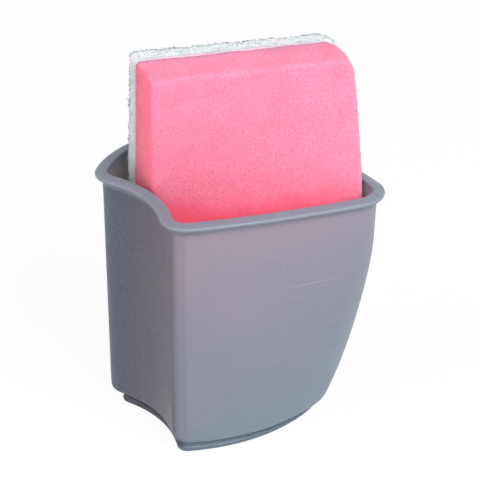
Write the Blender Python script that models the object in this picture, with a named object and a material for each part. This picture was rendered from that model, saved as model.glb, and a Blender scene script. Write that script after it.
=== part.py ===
# Kitchen sponge holder: a frosted plastic cup with a flared lip and a moulded foot, hollowed on its
# left side to nest against a round bottle, and an upright foam sponge with a scouring pad on its back.
# Metres, +Z up, front towards -Y, origin under the middle of the cup.

from math import asin, atan2, cos, hypot, pi, radians, sin, sqrt, tan

import bmesh
import bpy
from mathutils import Matrix, Vector

MM = 0.001

# Cup: heights and thicknesses
cup_height = 82.1 * MM
wall = 1.5 * MM
floor_thickness = 2.0 * MM
floor_fillet = 4.0 * MM
rib_height = 1.2 * MM
rib_width = 2.4 * MM
rib_spacing = 11.0 * MM
rib_count = 3
rib_end_gap = 4.0 * MM

# Lip: a flange that flares out of the wall, slopes down a little and ends in a rounded edge
lip_reach = 2.4 * MM
lip_thickness = 1.4 * MM
lip_drop = 0.45 * MM
lip_fillet = 2.6 * MM
lip_inner_round = 0.7 * MM

# Foot: a bead set in under the wall, with a groove above it and a recess under the floor
foot_height = 2.2 * MM
foot_inset = 1.6 * MM
foot_width = 3.0 * MM
foot_chamfer = 0.4 * MM
foot_left_corner = 5.0 * MM
foot_back_inset = 2.7 * MM
foot_least_corner = 0.6 * MM
recess_height = 3.3 * MM
groove_height = 1.4 * MM
groove_depth = 0.8 * MM
groove_round = 0.2 * MM
shoulder_radius = 2.0 * MM

# Plan of the outer wall at the rim, seen from above, and how far each side leans in by the base
front_y = -32.4 * MM
front_x = 7.1 * MM
front_radius = 342.0 * MM
front_lean = 2.0 * MM
right_x = 33.7 * MM
right_y = -5.6 * MM
right_heading = radians(108.3)
right_radius = 200.0 * MM
back_x = -22.5 * MM
back_y = 29.2 * MM
back_heading = radians(213.0)
back_radius = 49.0 * MM
back_lean = 0.8 * MM
nest_x = -27.4 * MM
nest_y = -18.1 * MM
nest_radius = 36.4 * MM
nest_lean = 0.3 * MM
front_left_corner = 5.8 * MM
front_right_corner = 8.0 * MM
back_right_corner = 36.0 * MM
back_left_corner = 6.5 * MM

# Plan at the base, where the front right corner is swept back into a long curve
base_front_x = -13.2 * MM
base_front_radius = 56.7 * MM
base_front_right_corner = 20.6 * MM
sweep_start = 19.7 * MM
sweep_power = 1.2

# Sponge: foam with a scouring pad bonded to its back. It stands upright. The cup holds its lower part
# skewed between the hollow side and the front right corner, and it springs back towards its free top.
sponge_width = 68.3 * MM
sponge_length = 115.2 * MM
foam_thickness = 14.8 * MM
pad_thickness = 6.4 * MM
sponge_end_corner = 6.0 * MM
sponge_side_radius = 390.0 * MM
sponge_crown_x = 13.7 * MM
sponge_crown_radius = 680.0 * MM
sponge_square_corner = 1.5 * MM
foam_edge_round = 1.2 * MM
corner_share = 0.8
sponge_setback = 18.2 * MM
sponge_held_height = 62.0 * MM
sponge_held_skew = radians(-15.5)
sponge_front_squeeze = 0.92
sponge_back_left_squeeze = 0.98
sponge_back_right_squeeze = 0.76
sponge_free_turn = radians(1.5)
sponge_free_spread = 13.0 * MM
sponge_back_rise = 1.2 * MM

# Clearances
sponge_clearance = 0.5 * MM
seat_gap = 0.3 * MM
bond_gap = 0.3 * MM

# Facets
plan_steps = (12, 9, 6, 14, 5, 6, 12, 6)
sponge_steps = (1, 6, 8, 6, 1, 2, 1, 2)
sponge_rows = 16
sponge_columns = 8
wall_rings = 11
round_steps = 4


class Side:
    """One side of an outline: an arc through a point, with a heading along the way round."""

    def __init__(self, x, y, heading, radius, turn=1):
        self.turn = turn
        self.radius = radius
        self.centre = (x - turn * radius * sin(heading), y + turn * radius * cos(heading))

    def grow(self, amount):
        self.radius += self.turn * amount

    def touch(self, point):
        """The point of the arc that is nearest to a point."""
        dx, dy = point[0] - self.centre[0], point[1] - self.centre[1]
        reach = self.radius / hypot(dx, dy)
        return (self.centre[0] + dx * reach, self.centre[1] + dy * reach)


def corner_centre(a, b, radius, near):
    """Centre of the round that joins two sides, the one nearest to a guide point."""
    da, db = a.radius - a.turn * radius, b.radius - b.turn * radius
    dx, dy = b.centre[0] - a.centre[0], b.centre[1] - a.centre[1]
    span = hypot(dx, dy)
    along = (da * da - db * db + span * span) / (2.0 * span)
    across = sqrt(max(da * da - along * along, 0.0))
    mx, my = a.centre[0] + along * dx / span, a.centre[1] + along * dy / span
    choices = [(mx - across * dy / span, my + across * dx / span),
               (mx + across * dy / span, my - across * dx / span)]
    return min(choices, key=lambda c: hypot(c[0] - near[0], c[1] - near[1]))


def sweep(centre, radius, start, end, turn, steps):
    """Points along an arc from start up to, but not including, end."""
    a = atan2(start[1] - centre[1], start[0] - centre[0])
    b = atan2(end[1] - centre[1], end[0] - centre[0])
    span = (b - a) * turn % (2.0 * pi)
    if span > pi:
        span = 0.0
    return [(centre[0] + radius * cos(a + turn * span * i / steps),
             centre[1] + radius * sin(a + turn * span * i / steps)) for i in range(steps)]


def rounded_outline(sides, rounds, guides, steps):
    """Closed outline round four sides, each joined to the next by a round near its guide point."""
    centres = [corner_centre(sides[i], sides[(i + 1) % 4], rounds[i], guides[i]) for i in range(4)]
    points = []
    for i in range(4):
        side, after = sides[i], sides[(i + 1) % 4]
        leave = side.touch(centres[i])
        points += sweep(side.centre, side.radius, side.touch(centres[i - 1]), leave,
                        side.turn, steps[2 * i])
        points += sweep(centres[i], rounds[i], leave, after.touch(centres[i]), 1, steps[2 * i + 1])
    return points


def plan(z, offset):
    """Closed outline of the cup at height z, grown by offset from the outer wall."""
    drop = (cup_height - z) / cup_height
    start = sweep_start / cup_height
    bend = max(0.0, (drop - start) / (1.0 - start)) ** sweep_power

    def blend(rim, base):
        return rim + (base - rim) * bend

    sides = [Side(blend(front_x, base_front_x), front_y, 0.0,
                  1.0 / blend(1.0 / front_radius, 1.0 / base_front_radius)),
             Side(right_x, right_y, right_heading, right_radius),
             Side(back_x, back_y, back_heading, back_radius),
             Side(nest_x, nest_y, radians(270.0), nest_radius, -1)]
    for side, lean in zip(sides, (front_lean, front_lean, back_lean, nest_lean)):
        side.grow(offset - lean * drop)
    back_inset = back_lean * drop
    left_corners = (back_left_corner, front_left_corner)
    if z < shoulder_z:
        sides[2].grow(-foot_back_inset)
        back_inset += foot_back_inset
        left_corners = (foot_left_corner, foot_left_corner)
    rounds = [blend(front_right_corner, base_front_right_corner) + offset,
              back_right_corner + offset - back_inset]
    rounds += [max(corner + offset, foot_least_corner) for corner in left_corners]
    guides = [(right_x, front_y), (0.0, back_y), (nest_x - nest_radius / 2.0, back_y),
              (nest_x, front_y)]
    return rounded_outline(sides, rounds, guides, plan_steps)


# Levels and proportions that follow from the sizes above
floor_z = recess_height + floor_thickness
seat_z = floor_z + rib_height + seat_gap
fillet_top = floor_z + floor_fillet
shoulder_z = foot_height + groove_height
cavity_inset = -wall - sponge_clearance
sponge_depth = foam_thickness + bond_gap + pad_thickness
sponge_free_height = sponge_length - sponge_held_height

# The origin is under the middle of the lip's bounding box
rim_points = plan(cup_height, lip_reach)
middle_x = (min(p[0] for p in rim_points) + max(p[0] for p in rim_points)) / 2.0
middle_y = (min(p[1] for p in rim_points) + max(p[1] for p in rim_points)) / 2.0


def arc_profile(z, offset, radius, start, end):
    """Points of a round in the wall's own section, as (height, offset) pairs."""
    angles = [start + (end - start) * i / round_steps for i in range(round_steps + 1)]
    return [(z + radius * sin(a), offset + radius * cos(a)) for a in angles]


def cup_profile():
    """From the middle of the underside, round the foot, up the wall, over the lip and down inside."""
    bead = foot_height / 2.0
    inner_foot = -foot_inset - foot_width
    under = [(recess_height, inner_foot), (foot_chamfer, inner_foot),
             (0.0, inner_foot + foot_chamfer), (0.0, -foot_inset - bead)]
    foot = arc_profile(bead, -foot_inset - bead, bead, radians(-60.0), radians(75.0))
    groove = [(z, -foot_inset - groove_depth) for z in
              (foot_height + groove_round, shoulder_z - groove_round)]
    low = shoulder_z + shoulder_radius
    shoulder = arc_profile(low, -shoulder_radius, shoulder_radius, radians(-80.0), 0.0)
    lip_z = cup_height - lip_drop
    flare_z = lip_z - lip_thickness - lip_fillet
    outside = [(low + (flare_z - low) * i / wall_rings, 0.0) for i in range(1, wall_rings)]
    edge = lip_thickness / 2.0
    flare = [(flare_z + lip_fillet * sin(a), (lip_reach - edge) * (1.0 - cos(a)))
             for a in [radians(90.0) * i / round_steps for i in range(round_steps)]]
    slope = asin(lip_drop / (lip_reach - edge + wall - lip_inner_round))
    rim = arc_profile(lip_z - edge, lip_reach - edge, edge, radians(-70.0), radians(90.0) - slope)
    inner_rim = arc_profile(cup_height - lip_inner_round, lip_inner_round - wall, lip_inner_round,
                            radians(90.0) - slope, radians(180.0))
    drop = cup_height - lip_inner_round - fillet_top
    inside = [(fillet_top + drop * (1.0 - i / wall_rings), -wall) for i in range(1, wall_rings)]
    corner = arc_profile(fillet_top, -wall - floor_fillet, floor_fillet, 0.0, radians(-90.0))
    return under + foot + groove + shoulder + outside + flare + rim + inner_rim + inside + corner


def cavity_profile():
    """The room inside the cup that a sponge can fill, and above the rim how far it spreads out."""
    low = min(max((seat_z - fillet_top) / floor_fillet, -1.0), 0.0)
    corner = arc_profile(fillet_top, cavity_inset - floor_fillet, floor_fillet, asin(low), 0.0)
    rise = (cup_height - fillet_top) / wall_rings
    sides = [(fillet_top + rise * i, cavity_inset) for i in range(1, wall_rings + 1)]
    top = (seat_z + sponge_length + sponge_back_rise + sponge_clearance,
           cavity_inset + sponge_free_spread)
    return corner + sides + [top]


def span(points, level, axis):
    """The least and greatest of the other coordinate where an outline crosses a level of one axis."""
    crossings = []
    for p, q in zip(points, points[1:] + points[:1]):
        if (p[axis] - level) * (q[axis] - level) < 0.0:
            part = (level - p[axis]) / (q[axis] - p[axis])
            crossings.append(p[1 - axis] + (q[1 - axis] - p[1 - axis]) * part)
    return min(crossings), max(crossings)


def add_object(name, mesh, collection):
    bmesh.ops.recalc_face_normals(mesh, faces=mesh.faces)
    data = bpy.data.meshes.new(name)
    mesh.to_mesh(data)
    mesh.free()
    obj = bpy.data.objects.new(name, data)
    collection.objects.link(obj)
    return obj


def loft(name, profile, collection):
    """A closed solid through one plan outline for each (height, offset) of the profile."""
    mesh = bmesh.new()
    rings = [[mesh.verts.new((x - middle_x, y - middle_y, z)) for x, y in plan(z, offset)]
             for z, offset in profile]
    for low, high in zip(rings, rings[1:]):
        for i in range(len(low)):
            j = (i + 1) % len(low)
            mesh.faces.new((low[i], low[j], high[j], high[i]))
    mesh.faces.new(list(reversed(rings[0])))
    mesh.faces.new(rings[-1])
    return add_object(name, mesh, collection)


def as_cutter(obj):
    obj.hide_render = True
    obj.display_type = 'WIRE'
    return obj


def combine(obj, other, operation):
    cut = obj.modifiers.new(operation.title(), 'BOOLEAN')
    cut.operation = operation
    cut.object = other


def smooth(obj, angle):
    obj.data.shade_smooth()
    obj.data.set_sharp_from_angle(angle=radians(angle))


def material(name, colour, roughness, transmission=0.0):
    mat = bpy.data.materials.new(name)
    mat.use_nodes = True
    shader = mat.node_tree.nodes['Principled BSDF']
    shader.inputs['Base Color'].default_value = (*colour, 1.0)
    shader.inputs['Roughness'].default_value = roughness
    shader.inputs['Transmission Weight'].default_value = transmission
    return mat


# Cup
def make_rib(number, collection):
    """A low rib that keeps the sponge off the wet floor; it runs front to back."""
    x = (number - (rib_count - 1) / 2.0) * rib_spacing
    front, back = span(plan(floor_z, -wall - floor_fillet), x + middle_x, 0)
    front, back = front - middle_y, back - middle_y
    root = floor_thickness / 2.0
    bpy.ops.mesh.primitive_cube_add(size=1.0)
    rib = bpy.context.active_object
    rib.name = 'rib_%d' % (number + 1)
    rib.data.transform(Matrix.Diagonal((rib_width, back - front - 2.0 * rib_end_gap,
                                        rib_height + root, 1.0)))
    rib.location = (x, (front + back) / 2.0, floor_z + (rib_height - root) / 2.0)
    rib.users_collection[0].objects.unlink(rib)
    collection.objects.link(rib)
    return as_cutter(rib)


def make_cup(parts, cutters):
    cup = loft('holder_cup', cup_profile(), parts)
    for number in range(rib_count):
        combine(cup, make_rib(number, cutters), 'UNION')
    smooth(cup, 40.0)
    cup.data.materials.append(material('frosted_plastic', (0.30, 0.31, 0.37), 0.45, 0.35))


# Sponge
def sponge_outline():
    """Front view of the sponge, square at the left and rounded at the right, from its lower left."""
    straight = 100.0
    half = sponge_length / 2.0
    sides = [Side(0.0, 0.0, 0.0, straight),
             Side(sponge_width, half, radians(90.0), sponge_side_radius),
             Side(sponge_crown_x, sponge_length, radians(180.0), sponge_crown_radius),
             Side(0.0, half, radians(270.0), straight)]
    rounds = [sponge_end_corner, sponge_end_corner, sponge_square_corner, sponge_square_corner]
    guides = [(sponge_width, 0.0), (sponge_width, sponge_length), (0.0, sponge_length), (0.0, 0.0)]
    return rounded_outline(sides, rounds, guides, sponge_steps)


def sponge_middle():
    """The middle of the sponge's front, between the hollow side and the right side at the rim."""
    y = front_y + sponge_setback
    left, right = span(plan(cup_height, -wall), y, 1)
    return Vector(((left + right) / 2.0 - middle_x, y - middle_y, seat_z))


def settle(point):
    """Where a point of the flat sponge goes: skewed and squeezed low in the cup, and at its top free,
    only turned a little and with its back left corner pushed up by the squeeze."""
    free = min(max((point.z - sponge_held_height) / sponge_free_height, 0.0), 1.0)
    ease = free * free * (3.0 - 2.0 * free)
    across = point.x - sponge_width / 2.0
    rise = sponge_back_rise * ease * point.y / sponge_depth * (0.5 - across / sponge_width)
    back_squeeze = sponge_back_left_squeeze if across < 0.0 else sponge_back_right_squeeze
    squeeze = sponge_front_squeeze + (back_squeeze - sponge_front_squeeze) * point.y / sponge_depth
    across *= squeeze + (1.0 - squeeze) * ease
    skew = sponge_held_skew + (sponge_free_turn - sponge_held_skew) * ease
    turned = point.y * sin(sponge_free_turn) * ease
    return Vector((across - turned, point.y + across * tan(skew), point.z + rise))


def slab(name, front, thickness, edge_round, parent, collection):
    """A slice of the sponge between two depths, with its front edges rounded."""
    mesh = bmesh.new()
    face = mesh.faces.new([mesh.verts.new((x, front, z)) for x, z in sponge_outline()])
    grown = bmesh.ops.extrude_face_region(mesh, geom=[face])['geom']
    bmesh.ops.translate(mesh, vec=(0.0, thickness, 0.0),
                        verts=[v for v in grown if isinstance(v, bmesh.types.BMVert)])
    if edge_round > 0.0:
        rim = [e for e in mesh.edges if all(abs(v.co.y - front) < edge_round / 10.0 for v in e.verts)]
        bmesh.ops.bevel(mesh, geom=rim, offset=edge_round, segments=2, profile=0.5,
                        affect='EDGES', clamp_overlap=True)
    cuts = [((0.0, 0.0, sponge_held_height + sponge_free_height * i / sponge_rows), (0.0, 0.0, 1.0))
            for i in range(sponge_rows)]
    cuts += [((sponge_width * i / sponge_columns, 0.0, 0.0), (1.0, 0.0, 0.0))
             for i in range(1, sponge_columns)]
    for place, normal in cuts:
        bmesh.ops.bisect_plane(mesh, geom=mesh.verts[:] + mesh.edges[:] + mesh.faces[:],
                               plane_co=place, plane_no=normal)
    for vert in mesh.verts:
        vert.co = settle(vert.co)
    obj = add_object(name, mesh, collection)
    obj.parent = parent
    return obj


def make_sponge(parts, cutters):
    cavity = as_cutter(loft('cavity', cavity_profile(), cutters))
    lift = bpy.data.objects.new('sponge_lift', None)
    lift.location = sponge_middle()
    parts.objects.link(lift)
    edge_round = min(foam_edge_round, corner_share * sponge_square_corner)
    foam = slab('sponge_foam', 0.0, foam_thickness, edge_round, lift, parts)
    foam.data.materials.append(material('pink_foam', (1.0, 0.26, 0.38), 0.95))
    pad = slab('scouring_pad', foam_thickness + bond_gap, pad_thickness, 0.0, lift, parts)
    pad.data.materials.append(material('white_pad', (0.78, 0.82, 0.86), 0.9))
    for piece in (foam, pad):
        combine(piece, cavity, 'INTERSECT')
        smooth(piece, 35.0)


def new_collection(name):
    collection = bpy.data.collections.new(name)
    bpy.context.scene.collection.children.link(collection)
    return collection


def main():
    for obj in list(bpy.data.objects):
        bpy.data.objects.remove(obj)
    parts = new_collection('sponge_holder')
    cutters = new_collection('cutters')
    make_cup(parts, cutters)
    make_sponge(parts, cutters)


main()
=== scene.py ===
"""A frosted plastic sponge-holder cup with a foam-and-scourer sponge in it, on a white floor.

The cup, the foam and the scouring pad are each grown from their CAD solid into a finer surface.
Fibres and grit on the pad, and the glue between pad and foam, are added. All lengths are metres,
+Z is up and the front looks towards -Y.
"""
from math import cos, pi, radians, sin
from random import Random

import bmesh
import bpy
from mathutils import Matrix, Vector, noise
from mathutils.bvhtree import BVHTree


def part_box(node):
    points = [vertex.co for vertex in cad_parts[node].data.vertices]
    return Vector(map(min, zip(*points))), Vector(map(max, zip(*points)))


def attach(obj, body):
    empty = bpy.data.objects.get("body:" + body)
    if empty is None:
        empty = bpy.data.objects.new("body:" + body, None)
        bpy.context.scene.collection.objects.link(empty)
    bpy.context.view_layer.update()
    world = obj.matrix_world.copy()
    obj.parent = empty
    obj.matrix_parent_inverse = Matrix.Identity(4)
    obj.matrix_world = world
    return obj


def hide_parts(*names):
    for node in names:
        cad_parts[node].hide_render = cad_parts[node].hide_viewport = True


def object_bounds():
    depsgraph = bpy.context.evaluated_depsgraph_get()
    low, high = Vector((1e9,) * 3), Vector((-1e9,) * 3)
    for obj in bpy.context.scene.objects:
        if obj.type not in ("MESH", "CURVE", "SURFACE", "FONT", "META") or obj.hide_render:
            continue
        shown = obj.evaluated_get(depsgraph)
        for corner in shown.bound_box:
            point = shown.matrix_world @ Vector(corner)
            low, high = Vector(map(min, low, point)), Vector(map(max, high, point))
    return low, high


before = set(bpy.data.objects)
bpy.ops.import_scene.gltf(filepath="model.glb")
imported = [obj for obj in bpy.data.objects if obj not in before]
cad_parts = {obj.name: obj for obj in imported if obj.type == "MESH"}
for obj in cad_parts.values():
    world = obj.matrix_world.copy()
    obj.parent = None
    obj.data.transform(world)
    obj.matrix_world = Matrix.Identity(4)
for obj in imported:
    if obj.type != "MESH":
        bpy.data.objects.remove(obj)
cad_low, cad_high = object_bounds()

MM = 0.001

# Camera
view_azimuth = radians(-18.0)
view_elevation = radians(28.0)
view_distance = 741.4 * MM
view_target = Vector((11.8, 28.3, 41.1)) * MM
view_lens = 168.75

# Lamps and floor
key_light = {"azimuth": radians(17.0), "elevation": radians(40.0), "distance": 1.2, "size": 0.7,
             "power": 19.5, "colour": (1.0, 1.0, 1.0)}
fill_light = {"azimuth": radians(-82.0), "elevation": radians(35.0), "distance": 1.4, "size": 0.9,
              "power": 9.5, "colour": (1.0, 0.90, 0.90)}
ambient_colour = (0.93, 0.96, 1.0, 1.0)
ambient_strength = 0.31
floor_size = 6.0
floor_drop = 0.05 * MM
floor_grey = (0.8, 0.8, 0.8, 1.0)
floor_roughness = 0.9
floor_white = 0.94

# Ways that a surface may look, and the values that most of a noise lies between
to_left = (-1.0, 0.0, 0.0)
to_front_left = (-0.707, -0.707, 0.0)
noise_low = 0.3
noise_high = 0.7

# Cup: how its net is made, and where the parts of its wall lie. The nest is the hollow side. Its
# colour is painted shade, which changes from nest_back to nest_front and ends at the wall's front
# left corner.
weld_reach = 0.002 * MM
crease_angle = radians(32.0)
quad_angle = radians(70.0)
cup_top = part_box("holder_cup")[1].z
lip_start = cup_top - 4.5 * MM
inside_full = cup_top - 4.0 * MM
inside_end = cup_top - 0.8 * MM
inside_reach = 20.0 * MM
nest_back = 12.0 * MM
nest_front = -4.0 * MM
corner_from = -13.0 * MM
corner_full = -16.0 * MM
front_wall = -20.0 * MM

# Plastic: how see-through it is, and its colour from the base up to the lip. The pink of the upper
# wall is a painted glow of the foam behind it, which fades towards the right, where the wall
# leaves the foam.
plastic_clearness = 0.35
plastic_cloud = 24.0 * MM
plastic_grain = 0.6 * MM
plastic_speck = 2.2 * MM
plastic_wander = 9.0 * MM
painted_glow_slope = -0.45
plastic_low = (0.190, 0.252, 0.327)
plastic_middle = (0.232, 0.247, 0.318)
plastic_high_painted_glow = (0.312, 0.266, 0.322)
# The nest colours are painted shade, the front one tinged with the foam's painted pink glow
plastic_nest_painted_shade = (0.050, 0.093, 0.142)
plastic_nest_front_painted_shade = (0.105, 0.094, 0.128)
# The inside colours are painted light: light through the wall, warmer at the left from the pink
# foam
plastic_inside_left_painted_light = (0.39, 0.33, 0.32)
plastic_inside_right_painted_light = (0.40, 0.39, 0.38)
# The foot, its groove and the foot under the nest are painted darker as shade
plastic_foot_painted_shade = (0.065, 0.120, 0.180)
plastic_foot_nest_painted_shade = (0.005, 0.018, 0.035)
plastic_groove_painted_shade = (0.080, 0.145, 0.220)
plastic_lip = (0.210, 0.250, 0.305)
bead_top = 2.0 * MM
foot_top = 3.4 * MM
plastic_mark = (0.40, 0.40, 0.46)

# Fine scratches on the front wall, each from one (x, z) to another, and how much each shows. They
# fade out from line_core of their width and length on, and are broken by noise.
scratch_width = 0.28 * MM
scratch_breaks = 1.2 * MM
line_core = 0.6
scratches = (((6.5 * MM, 55.7 * MM), (26.0 * MM, 56.3 * MM), 0.9),
             ((5.5 * MM, 51.9 * MM), (12.4 * MM, 52.3 * MM), 0.3),
             ((20.5 * MM, 40.2 * MM), (29.5 * MM, 40.9 * MM), 0.25))

# Sponge: its edges are eased by smoothing, but not within bond_reach of the bond of foam and pad
foam_voxel = 0.65 * MM
foam_smoothing = 14
foam_waves = ((9.0 * MM, 0.20 * MM), (2.2 * MM, 0.08 * MM))
pore_size = 1.2 * MM
pore_depth = 0.12 * MM
pore_slope = 2.5
pad_voxel = 0.7 * MM
pad_smoothing = 3
pad_waves = ((7.0 * MM, 0.20 * MM), (1.4 * MM, 0.30 * MM))
bond_facing = 0.8
bond_reach = 3.0 * MM

# The sponge's top right corner is fuller than its solid. These are its places in foam and pad.
corner_in_foam = Vector((33.0, -5.5, 119.0)) * MM
corner_in_pad = Vector((35.5, 4.5, 115.5)) * MM
corner_reach = 9.0 * MM
foam_fullness = 0.9 * MM
pad_fullness = 1.5 * MM

# Fibres on the scouring pad, and dark grit on its back and along the edge of the back
fibre_joints = 4
fibre_step = 0.45 * MM
fibre_radius = 0.05 * MM
fibre_stray = 0.75
fibre_flatness = 0.85
fibre_lift = 0.1 * MM
front_facing = -0.5
edge_facing = 0.7
pad_fibres = 7000
grit_step = 0.2 * MM
grit_radius = 0.11 * MM
back_grit = 1600
edge_grit = 420
edge_reach = 0.7 * MM

# Colours of the sponge: the foam is painted a deep red as shade low in the cup, up to a little
# over the cup's rim, and a brighter red as painted light above that
foam_deep = (0.77, 0.228, 0.345)
foam_pale = (0.80, 0.260, 0.395)
# The left side's colour is painted shade: a saturated red
foam_left_painted_shade = (0.97, 0.185, 0.270)
# A brighter red painted as light, just above the painted shade low in the cup
foam_low_painted_light = (0.97, 0.262, 0.405)
# A deep red painted as shade low in the cup
foam_rim_painted_shade = (0.98, 0.105, 0.170)
foam_pore = (0.72, 0.13, 0.20)
foam_fleck = (1.0, 0.62, 0.70)
foam_cloud = 8.0 * MM
foam_grain = 0.6 * MM
foam_grain_depth = 0.22 * MM
fine_pores = 0.55 * MM
large_pores = 0.8 * MM
fleck_size = 1.8 * MM
# Heights of the painted shade and the painted light on the foam
painted_shade_from = 72.0 * MM
painted_shade_to = 82.0 * MM
painted_light_to = 102.0 * MM
painted_band_wander = 2.0 * MM
tangle_size = 0.7 * MM
tangle_depth = 0.25 * MM
pad_shade = (0.68, 0.79, 0.87)
pad_light = (0.89, 0.97, 1.00)
grit_shade = (0.10, 0.13, 0.13)
grit_light = (0.30, 0.36, 0.36)

# Glue between foam and pad
glue_thickness = 0.8 * MM
seam_mottle = 1.1 * MM
seam_pink = (0.80, 0.42, 0.52)
seam_pale = (0.84, 0.62, 0.70)


def new_object(name, data):
    obj = bpy.data.objects.new(name, data)
    bpy.context.scene.collection.objects.link(obj)
    return obj


def way_to(azimuth, elevation):
    """The way out from the object. Azimuth 0 is in front of it, and 90 degrees at its right."""
    return Vector((sin(azimuth) * cos(elevation), -cos(azimuth) * cos(elevation), sin(elevation)))


def copy_of(node, name):
    """A new object with its own copy of a CAD node's mesh, welded where the export split it."""
    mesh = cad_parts[node].data.copy()
    mesh.materials.clear()
    grown = bmesh.new()
    grown.from_mesh(mesh)
    bmesh.ops.remove_doubles(grown, verts=grown.verts, dist=weld_reach)
    grown.to_mesh(mesh)
    grown.free()
    return new_object(name, mesh)


def apply_modifiers(obj):
    """Makes what the modifiers show the object's own mesh."""
    evaluated = obj.evaluated_get(bpy.context.evaluated_depsgraph_get())
    mesh = bpy.data.meshes.new_from_object(evaluated)
    obj.modifiers.clear()
    obj.data = mesh


def bond_of(mesh, side):
    """A search tree of the faces on one side of a solid, 1 for its back and -1 for its front."""
    faces = [tuple(face.vertices) for face in mesh.polygons if face.normal.y * side > bond_facing]
    return BVHTree.FromPolygons([vert.co for vert in mesh.vertices], faces)


def remesh(obj, voxel, smoothing, bond):
    """An even skin of small faces over a solid, with its edges eased away from the bond."""
    skin = obj.modifiers.new("Skin", 'REMESH')
    skin.mode = 'VOXEL'
    skin.voxel_size = voxel
    apply_modifiers(obj)
    free = obj.vertex_groups.new(name="free")
    for vert in obj.data.vertices:
        free.add([vert.index], min(bond.find_nearest(vert.co)[3] / bond_reach, 1.0), 'REPLACE')
    ease = obj.modifiers.new("Ease", 'SMOOTH')
    ease.factor = 0.5
    ease.iterations = smoothing
    ease.vertex_group = free.name
    apply_modifiers(obj)
    obj.data.shade_smooth()


def roughen(obj, waves, pores=None):
    """Moves each point along its normal by noise of several sizes, and down into pores."""
    moved = []
    for vert in obj.data.vertices:
        shift = sum(height * noise.noise(vert.co / size) for size, height in waves)
        if pores:
            size, depth = pores
            near = noise.voronoi(vert.co / size)[0][0]
            shift -= depth * max(0.0, 1.0 - pore_slope * near)
        moved.append(vert.co + vert.normal * shift)
    for vert, place in zip(obj.data.vertices, moved):
        vert.co = place


def fill_corner(obj, corner, fullness):
    """Moves what is near a top right corner outwards, up and to the right."""
    outwards = Vector((1.0, 0.0, 1.0)).normalized() * fullness
    for vert in obj.data.vertices:
        near = 1.0 - ((vert.co - corner).length / corner_reach) ** 2
        if near > 0.0:
            vert.co += outwards * near ** 2


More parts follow.
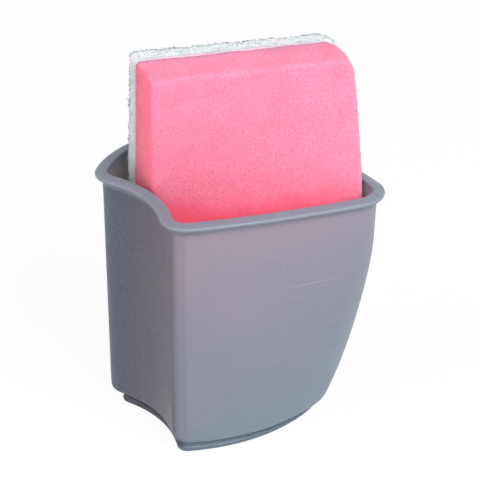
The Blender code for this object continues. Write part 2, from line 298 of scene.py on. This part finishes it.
# Nodes
class Nodes:
    """A material with a Principled shader, and short calls that add nodes to it."""

    def __init__(self, name):
        self.material = bpy.data.materials.new(name)
        self.material.use_nodes = True
        self.tree = self.material.node_tree
        self.shader = self.tree.nodes["Principled BSDF"]
        self.place = self.add('ShaderNodeTexCoord').outputs["Object"]
        self.normal = self.add('ShaderNodeTexCoord').outputs["Normal"]

    def add(self, kind, **settings):
        node = self.tree.nodes.new(kind)
        for key, value in settings.items():
            setattr(node, key, value)
        return node

    def link(self, source, target):
        self.tree.links.new(source, target)

    def put(self, **values):
        for key, value in values.items():
            self.shader.inputs[key.replace("_", " ")].default_value = value

    def noise(self, size, detail, roughness=0.5):
        """Noise whose lumps are about this many metres across."""
        node = self.add('ShaderNodeTexNoise')
        node.inputs["Scale"].default_value = 1.0 / size
        node.inputs["Detail"].default_value = detail
        node.inputs["Roughness"].default_value = roughness
        self.link(self.place, node.inputs["Vector"])
        return node.outputs["Fac"]

    def remap(self, value, low, high, to_low=0.0, to_high=1.0):
        node = self.add('ShaderNodeMapRange')
        for socket, number in zip(("From Min", "From Max", "To Min", "To Max"),
                                  (low, high, to_low, to_high)):
            node.inputs[socket].default_value = number
        self.link(value, node.inputs["Value"])
        return node.outputs["Result"]

    def math(self, operation, a, b):
        node = self.add('ShaderNodeMath', operation=operation)
        for socket, value in zip(node.inputs, (a, b)):
            if isinstance(value, float):
                socket.default_value = value
            else:
                self.link(value, socket)
        return node.outputs[0]

    def mix(self, factor, a, b):
        """Colour a where the factor is 0 and colour b where it is 1."""
        node = self.add('ShaderNodeMix', data_type='RGBA')
        self.link(factor, node.inputs["Factor"])
        for index, value in ((6, a), (7, b)):
            if isinstance(value, tuple):
                node.inputs[index].default_value = (*value, 1.0)
            else:
                self.link(value, node.inputs[index])
        return node.outputs[2]

    def xyz(self):
        """The X, Y and Z of the place on the object, in metres."""
        node = self.add('ShaderNodeSeparateXYZ')
        self.link(self.place, node.inputs[0])
        return node.outputs

    def facing(self, way, low, high):
        """0 where the surface looks less this way, on the object, than low, and 1 from high on."""
        part = self.add('ShaderNodeVectorMath', operation='DOT_PRODUCT')
        self.link(self.normal, part.inputs[0])
        part.inputs[1].default_value = way
        return self.remap(part.outputs["Value"], low, high)

    def facing_in(self):
        """1 where the surface looks to the upright axis of the cup, and 0 where it looks away."""
        level = self.add('ShaderNodeVectorMath', operation='MULTIPLY')
        self.link(self.place, level.inputs[0])
        level.inputs[1].default_value = (-1.0, -1.0, 0.0)
        inward = self.add('ShaderNodeVectorMath', operation='NORMALIZE')
        self.link(level.outputs[0], inward.inputs[0])
        part = self.add('ShaderNodeVectorMath', operation='DOT_PRODUCT')
        self.link(inward.outputs[0], part.inputs[0])
        self.link(self.normal, part.inputs[1])
        return self.remap(part.outputs["Value"], low=0.1, high=0.5)

    def near_line(self, start, end, width):
        """1 within this width of the line from start to end, seen from the front, and 0 off it."""
        (x0, z0), (x1, z1) = start, end
        run = Vector((x1 - x0, 0.0, z1 - z0))
        middle = (Vector((x0, 0.0, z0)) + run / 2.0)[:]
        centred = self.add('ShaderNodeVectorMath', operation='SUBTRACT')
        self.link(self.place, centred.inputs[0])
        centred.inputs[1].default_value = middle
        shares = []
        for axis, reach in ((run.normalized(), run.length / 2.0),
                            (Vector((-run.z, 0.0, run.x)).normalized(), width)):
            part = self.add('ShaderNodeVectorMath', operation='DOT_PRODUCT')
            self.link(centred.outputs[0], part.inputs[0])
            part.inputs[1].default_value = axis[:]
            away = self.math('ABSOLUTE', part.outputs["Value"], 0.0)
            shares.append(self.remap(away, line_core * reach, reach, 1.0, 0.0))
        return self.math('MULTIPLY', *shares)

    def bump(self, height, depth):
        node = self.add('ShaderNodeBump')
        node.inputs["Strength"].default_value = 1.0
        node.inputs["Distance"].default_value = depth
        self.link(height, node.inputs["Height"])
        self.link(node.outputs["Normal"], self.shader.inputs["Normal"])

    def colour(self, value):
        self.link(value, self.shader.inputs["Base Color"])

    def roughness(self, value):
        self.link(value, self.shader.inputs["Roughness"])


# Materials
def frosted_plastic():
    """Grey, milky plastic: light scatters in it, and its colours carry a painted pink glow of the
    foam, painted shade on the nest and foot, and painted light inside.
    """
    mat = Nodes("frosted_plastic")
    mat.put(IOR=1.45, Transmission_Weight=plastic_clearness, Specular_IOR_Level=0.35,
            Subsurface_Weight=0.6, Subsurface_Radius=(1.0, 1.0, 1.0), Subsurface_Scale=4.0 * MM)
    x, y, z = mat.xyz()
    cloud = mat.noise(plastic_cloud, detail=3.0)
    wander = mat.remap(cloud, noise_low, noise_high, -plastic_wander, plastic_wander)
    # The upper wall's pink is a painted glow of the foam, tilted to fade towards the right
    level = mat.math('ADD', mat.math('ADD', z, mat.math('MULTIPLY', x, painted_glow_slope)), wander)
    lower = mat.mix(mat.remap(level, 0.1 * cup_top, 0.45 * cup_top), plastic_low, plastic_middle)
    wall = mat.mix(mat.remap(level, 0.5 * cup_top, 0.95 * cup_top), lower, plastic_high_painted_glow)
    # Painted shade on the nest, which stops at the front left corner and carries down onto the
    # foot
    nest = mat.mix(mat.remap(y, nest_back, nest_front), plastic_nest_painted_shade, plastic_nest_front_painted_shade)
    front_corner = mat.math('MULTIPLY', mat.facing(to_front_left, low=0.88, high=1.0),
                            mat.remap(y, corner_from, corner_full))
    nest_shade_mask = mat.math('MULTIPLY', mat.facing(to_left, low=0.35, high=0.6),
                       mat.math('SUBTRACT', 1.0, front_corner))
    outside = mat.mix(nest_shade_mask, wall, nest)
    # Painted shade on the foot and groove, darkest under the nest
    front_foot_painted_shade = mat.mix(mat.remap(z, bead_top, bead_top + 0.3 * MM), plastic_foot_painted_shade, plastic_groove_painted_shade)
    foot = mat.mix(nest_shade_mask, front_foot_painted_shade, plastic_foot_nest_painted_shade)
    above_foot = mat.mix(mat.remap(z, foot_top, foot_top + 0.4 * MM), foot, outside)
    lip = mat.mix(mat.remap(z, lip_start, lip_start + 1.0 * MM), above_foot, plastic_lip)
    # Painted light on the inside below the lip
    inside = mat.mix(mat.remap(x, -inside_reach, inside_reach), plastic_inside_left_painted_light,
                     plastic_inside_right_painted_light)
    below_lip = mat.remap(z, inside_full, inside_end, 1.0, 0.0)
    tint = mat.mix(mat.math('MULTIPLY', mat.facing_in(), below_lip), lip, inside)
    grain = mat.noise(plastic_grain, detail=4.0, roughness=0.75)
    speckled = mat.noise(plastic_speck, detail=3.0, roughness=0.7)
    mottled = mat.mix(mat.remap(grain, noise_low, noise_high, 0.0, 0.40), tint, plastic_mark)
    in_front = mat.remap(y, front_wall, front_wall - 1.0 * MM)
    broken = mat.remap(mat.noise(scratch_breaks, detail=1.0), 0.35, 0.55)
    scrape = mat.math('MULTIPLY', in_front, broken)
    marks = mat.remap(speckled, 0.70, 0.78, 0.0, 0.5)
    for start, end, strength in scratches:
        line = mat.math('MULTIPLY', mat.near_line(start, end, scratch_width), strength)
        marks = mat.math('MAXIMUM', marks, mat.math('MULTIPLY', line, scrape))
    mat.colour(mat.mix(marks, mottled, plastic_mark))
    mat.roughness(mat.remap(cloud, noise_low, noise_high, 0.42, 0.52))
    mat.bump(grain, depth=0.04 * MM)
    return mat.material


def pink_foam():
    """Open-cell foam: fine pores, a few pale flecks, and light that spreads under the surface. Its
    colour holds painted shade, a deep red low in the cup and on its left side, and painted light
    in a brighter red band above.
    """
    mat = Nodes("pink_foam")
    mat.put(Roughness=0.92, Subsurface_Weight=0.8, Subsurface_Radius=(1.0, 0.15, 0.18),
            Subsurface_Scale=12.0 * MM, Specular_IOR_Level=0.1)
    cloud = mat.noise(foam_cloud, detail=4.0)
    open_foam = mat.mix(mat.remap(cloud, 0.35, 0.65), foam_deep, foam_pale)
    wander = mat.remap(cloud, noise_low, noise_high, -painted_band_wander, painted_band_wander)
    level = mat.math('ADD', mat.xyz()[2], wander)
    # Painted light: a brighter red above the painted shade low in the cup
    low_painted_light = mat.mix(mat.remap(level, painted_shade_to, painted_light_to), foam_low_painted_light, open_foam)
    # Painted shade: the left side a saturated red
    base = mat.mix(mat.facing(to_left, low=0.6, high=1.0), low_painted_light, foam_left_painted_shade)
    # Painted shade: a deep red low in the cup
    rim_painted_shade = mat.mix(mat.remap(level, painted_shade_from, painted_shade_to), foam_rim_painted_shade, base)
    fine = mat.remap(mat.noise(fine_pores, detail=4.0, roughness=0.8), 0.30, 0.56)
    large = mat.remap(mat.noise(large_pores, detail=3.0, roughness=0.7), 0.27, 0.33)
    fleck = mat.remap(mat.noise(fleck_size, detail=4.0, roughness=0.75), 0.72, 0.76)
    porous = mat.mix(large, foam_pore, mat.mix(fine, foam_pore, rim_painted_shade))
    mat.colour(mat.mix(fleck, porous, foam_fleck))
    mat.bump(mat.noise(foam_grain, detail=3.0, roughness=0.65), foam_grain_depth)
    return mat.material


def pad_fibre(name, shade, light):
    """Non-woven scouring fibre, mottled between a shade and a light."""
    mat = Nodes(name)
    mat.put(Roughness=0.85, Specular_IOR_Level=0.2, Subsurface_Weight=0.9,
            Subsurface_Radius=(1.0, 0.95, 0.95), Subsurface_Scale=8.0 * MM)
    tangle = mat.remap(mat.noise(tangle_size, detail=4.0, roughness=0.7), 0.32, 0.62)
    mat.colour(mat.mix(tangle, shade, light))
    mat.bump(tangle, tangle_depth)
    return mat.material


def pale_glue():
    """The seam of foam and pad: pale fibres soaked with pink."""
    mat = Nodes("pale_glue")
    mat.put(Roughness=0.8, Specular_IOR_Level=0.1, Subsurface_Weight=0.8,
            Subsurface_Radius=(1.0, 0.6, 0.65), Subsurface_Scale=4.0 * MM)
    soaked = mat.remap(mat.noise(seam_mottle, detail=4.0, roughness=0.7), 0.35, 0.65)
    mat.colour(mat.mix(soaked, seam_pink, seam_pale))
    return mat.material


# Cup
def make_cup():
    """The cup's solid as an even net of four-sided faces, rounded by subdivision."""
    cup = copy_of("holder_cup", "cup")
    net = bmesh.new()
    net.from_mesh(cup.data)
    bmesh.ops.join_triangles(net, faces=net.faces, angle_face_threshold=quad_angle,
                             angle_shape_threshold=pi)
    crease = net.edges.layers.float.new("crease_edge")
    for edge in net.edges:
        if edge.calc_face_angle(0.0) > crease_angle:
            edge[crease] = 1.0
    net.to_mesh(cup.data)
    net.free()
    smoother = cup.modifiers.new("Smoother", 'SUBSURF')
    smoother.levels = smoother.render_levels = 1
    apply_modifiers(cup)
    cup.data.shade_smooth()
    cup.data.set_sharp_from_angle(angle=crease_angle)
    cup.data.materials.append(frosted_plastic())
    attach(cup, "cup")
    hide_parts("holder_cup")


# Sponge
def make_foam():
    """The foam: an even skin over its solid, with eased edges, slow waves and shallow pores."""
    foam = copy_of("sponge_foam", "foam")
    remesh(foam, foam_voxel, foam_smoothing, bond_of(foam.data, 1))
    fill_corner(foam, corner_in_foam, foam_fullness)
    roughen(foam, foam_waves, (pore_size, pore_depth))
    foam.data.materials.append(pink_foam())
    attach(foam, "sponge")
    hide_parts("sponge_foam")


def make_pad():
    """The scouring pad: an even skin over its solid, with a rough face."""
    pad = copy_of("scouring_pad", "pad")
    remesh(pad, pad_voxel, pad_smoothing, bond_of(pad.data, -1))
    fill_corner(pad, corner_in_pad, pad_fullness)
    roughen(pad, pad_waves)
    pad.data.materials.append(pad_fibre("white_pad", pad_shade, pad_light))
    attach(pad, "sponge")
    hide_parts("scouring_pad")
    return pad


def make_glue():
    """The thin layer that bonds pad to foam, over the whole of the pad's front."""
    glue = copy_of("scouring_pad", "glue")
    film = bmesh.new()
    film.from_mesh(glue.data)
    others = [face for face in film.faces if face.normal.y > -bond_facing]
    bmesh.ops.delete(film, geom=others, context='FACES')
    film.to_mesh(glue.data)
    film.free()
    thicken = glue.modifiers.new("Thicken", 'SOLIDIFY')
    thicken.thickness = glue_thickness
    thicken.offset = 0.0
    apply_modifiers(glue)
    glue.data.materials.append(pale_glue())
    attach(glue, "sponge")


def make_fibres(name, faces, count, step, radius, material, seed):
    """Short bent fibres that lie on some faces of the pad."""
    rng = Random(seed)
    curve = bpy.data.curves.new(name, 'CURVE')
    curve.dimensions = '3D'
    curve.bevel_depth = radius
    curve.bevel_resolution = 0
    for _ in range(count):
        face = rng.choice(faces)
        normal = face.normal
        heading = Vector([rng.gauss(0.0, 1.0) for _ in range(3)])
        heading = (heading - normal * heading.dot(normal)).normalized()
        place = face.center + normal * rng.uniform(0.0, 1.0) * fibre_lift
        spline = curve.splines.new('POLY')
        spline.points.add(fibre_joints - 1)
        for point in spline.points:
            point.co = (*place, 1.0)
            bend = Vector([rng.gauss(0.0, 1.0) for _ in range(3)]) * fibre_stray
            bend -= normal * bend.dot(normal) * fibre_flatness
            heading = (heading + bend).normalized()
            place = place + heading * step
    fibres = new_object(name, curve)
    curve.materials.append(material)
    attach(fibres, "sponge")


# Stage
def see_rays(tree):
    """1 for rays that show the background: straight from the camera, mirrored or seen through."""
    path = tree.nodes.new('ShaderNodeLightPath')
    total = path.outputs["Is Camera Ray"]
    for name in ("Is Glossy Ray", "Is Transmission Ray"):
        both = tree.nodes.new('ShaderNodeMath')
        both.operation = 'ADD'
        both.use_clamp = True
        tree.links.new(total, both.inputs[0])
        tree.links.new(path.outputs[name], both.inputs[1])
        total = both.outputs[0]
    return total


def make_floor():
    """A wide pale floor that shows white and keeps a soft shadow under the cup."""
    bpy.ops.mesh.primitive_plane_add(size=floor_size, location=(0.0, 0.0, -floor_drop))
    floor = bpy.context.active_object
    floor.name = "floor"
    material = bpy.data.materials.new("floor")
    material.use_nodes = True
    tree = material.node_tree
    shader = tree.nodes["Principled BSDF"]
    shader.inputs["Base Color"].default_value = floor_grey
    shader.inputs["Roughness"].default_value = floor_roughness
    white = tree.nodes.new('ShaderNodeEmission')
    share = tree.nodes.new('ShaderNodeMath')
    share.operation = 'MULTIPLY'
    share.inputs[1].default_value = floor_white
    blend = tree.nodes.new('ShaderNodeMixShader')
    tree.links.new(see_rays(tree), share.inputs[0])
    tree.links.new(share.outputs[0], blend.inputs[0])
    tree.links.new(shader.outputs[0], blend.inputs[1])
    tree.links.new(white.outputs[0], blend.inputs[2])
    tree.links.new(blend.outputs[0], tree.nodes["Material Output"].inputs["Surface"])
    floor.data.materials.append(material)


def make_world():
    """Even studio light from all sides, which shows as white where it is seen."""
    world = bpy.data.worlds.new("studio")
    bpy.context.scene.world = world
    world.use_nodes = True
    tree = world.node_tree
    ambient = tree.nodes["Background"]
    ambient.inputs["Color"].default_value = ambient_colour
    ambient.inputs["Strength"].default_value = ambient_strength
    white = tree.nodes.new('ShaderNodeBackground')
    white.inputs["Color"].default_value = (1.0, 1.0, 1.0, 1.0)
    blend = tree.nodes.new('ShaderNodeMixShader')
    tree.links.new(see_rays(tree), blend.inputs[0])
    tree.links.new(ambient.outputs[0], blend.inputs[1])
    tree.links.new(white.outputs[0], blend.inputs[2])
    tree.links.new(blend.outputs[0], tree.nodes["World Output"].inputs["Surface"])


def make_lamp(name, azimuth, elevation, distance, size, power, colour):
    """A square lamp that looks at the middle of the object."""
    middle = (cad_low + cad_high) / 2.0
    away = way_to(azimuth, elevation)
    data = bpy.data.lights.new(name, 'AREA')
    data.size = size
    data.energy = power
    data.color = colour
    lamp = new_object(name, data)
    lamp.location = middle + away * distance
    lamp.rotation_euler = away.to_track_quat('Z', 'Y').to_euler()


def make_camera():
    """The camera at the photo's angle."""
    away = way_to(view_azimuth, view_elevation)
    data = bpy.data.cameras.new("camera")
    data.sensor_width = 36.0
    data.lens = view_lens
    camera = new_object("camera", data)
    camera.location = view_target + away * view_distance
    camera.rotation_euler = away.to_track_quat('Z', 'Y').to_euler()
    bpy.context.scene.camera = camera


make_camera()
make_cup()
make_foam()
pad = make_pad()
make_glue()
outer = [face for face in pad.data.polygons if face.normal.y > front_facing]
pale = pad_fibre("pale_fibre", pad_shade, pad_light)
make_fibres("pad_fibres", outer, pad_fibres, fibre_step, fibre_radius, pale, seed=7)
back = bond_of(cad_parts["scouring_pad"].data, 1)
scouring = [face for face in outer if back.find_nearest(face.center)[3] < edge_reach]
edge = [face for face in scouring if face.normal.y < edge_facing]
grit = pad_fibre("grit", grit_shade, grit_light)
make_fibres("pad_grit_back", scouring, back_grit, grit_step, grit_radius, grit, seed=8)
make_fibres("pad_grit_edge", edge, edge_grit, grit_step, grit_radius, grit, seed=9)
make_floor()
make_world()
make_lamp("key", **key_light)
make_lamp("fill", **fill_light)
bpy.context.scene.view_settings.view_transform = 'Standard'
